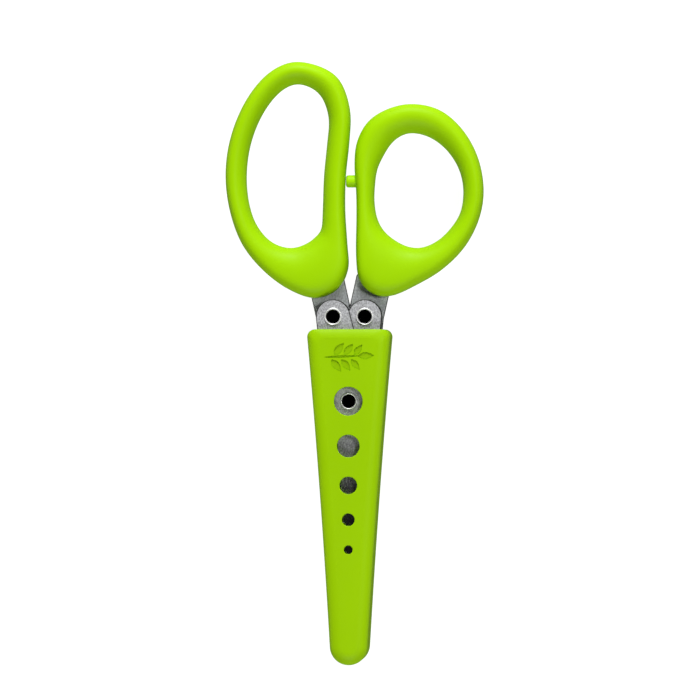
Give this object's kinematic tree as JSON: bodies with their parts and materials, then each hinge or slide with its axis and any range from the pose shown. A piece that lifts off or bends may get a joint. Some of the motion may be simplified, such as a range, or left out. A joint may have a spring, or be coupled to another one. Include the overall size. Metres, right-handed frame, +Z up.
{
  "type": "herb scissors",
  "caption": "Herb scissors with stacked blade pairs, two moulded loop handles and a tapered slide-on sheath with graduated stem-stripping holes.",
  "frame": {"origin": "centre of the overall box in plan, at the underside of the sheath, on which the closed scissors lie", "axes": "+Y from the sheath's tip towards the handles, +Z up out of the face that carries the pivot rivet, +X towards the thumb loop"},
  "size_m": [0.0862, 0.2009, 0.0214],
  "materials": {
    "handle_plastic": "satin lime green, moulded",
    "sheath_plastic": "satin lime green, moulded",
    "blade_steel": "stamped stainless steel, lightly brushed",
    "rivet_metal": "bright nickel-plated hollow rivets"
  },
  "bodies": {
    "pivot": {"pivot_rivet": "rivet_metal", "pivot_washer_front": "blade_steel", "pivot_washer_back": "blade_steel", "pivot_spacer_1": "blade_steel", "pivot_spacer_2": "blade_steel", "pivot_spacer_3": "blade_steel", "pivot_spacer_4": "blade_steel"},
    "finger_half": {"finger_handle": "handle_plastic", "finger_tang_blade": "blade_steel", "finger_blade_1": "blade_steel", "finger_blade_2": "blade_steel", "finger_blade_3": "blade_steel", "finger_blade_4": "blade_steel", "finger_rear_spacer_1": "blade_steel", "finger_rear_spacer_2": "blade_steel", "finger_rear_spacer_3": "blade_steel", "finger_rear_spacer_4": "blade_steel", "finger_rear_rivet": "rivet_metal"},
    "thumb_half": {"thumb_handle": "handle_plastic", "thumb_tang_blade": "blade_steel", "thumb_blade_1": "blade_steel", "thumb_blade_2": "blade_steel", "thumb_blade_3": "blade_steel", "thumb_blade_4": "blade_steel", "thumb_rear_spacer_1": "blade_steel", "thumb_rear_spacer_2": "blade_steel", "thumb_rear_spacer_3": "blade_steel", "thumb_rear_spacer_4": "blade_steel", "thumb_rear_rivet": "rivet_metal"},
    "sheath": {"sheath": "sheath_plastic"}
  },
  "joints": [
    {"name": "sheath_pull_off", "type": "slide", "parent": "pivot", "child": "sheath", "axis": [0, -1, 0], "range_m": [0, 0.235]},
    {"name": "finger_half_open", "type": "hinge", "parent": "pivot", "child": "finger_half", "pos_m": [-0.0015, -0.0127, 0.0107], "axis": [0, 0, 1], "range_deg": [0, 18]},
    {"name": "thumb_half_open", "type": "hinge", "parent": "pivot", "child": "thumb_half", "pos_m": [-0.0015, -0.0127, 0.0107], "axis": [0, 0, 1], "range_deg": [-18, 0]}
  ],
  "couplings": [
    {"joint": "finger_half_open", "follows": "sheath_pull_off", "rad_per_m": 1.3333},
    {"joint": "thumb_half_open", "follows": "sheath_pull_off", "rad_per_m": -1.3333}
  ]
}
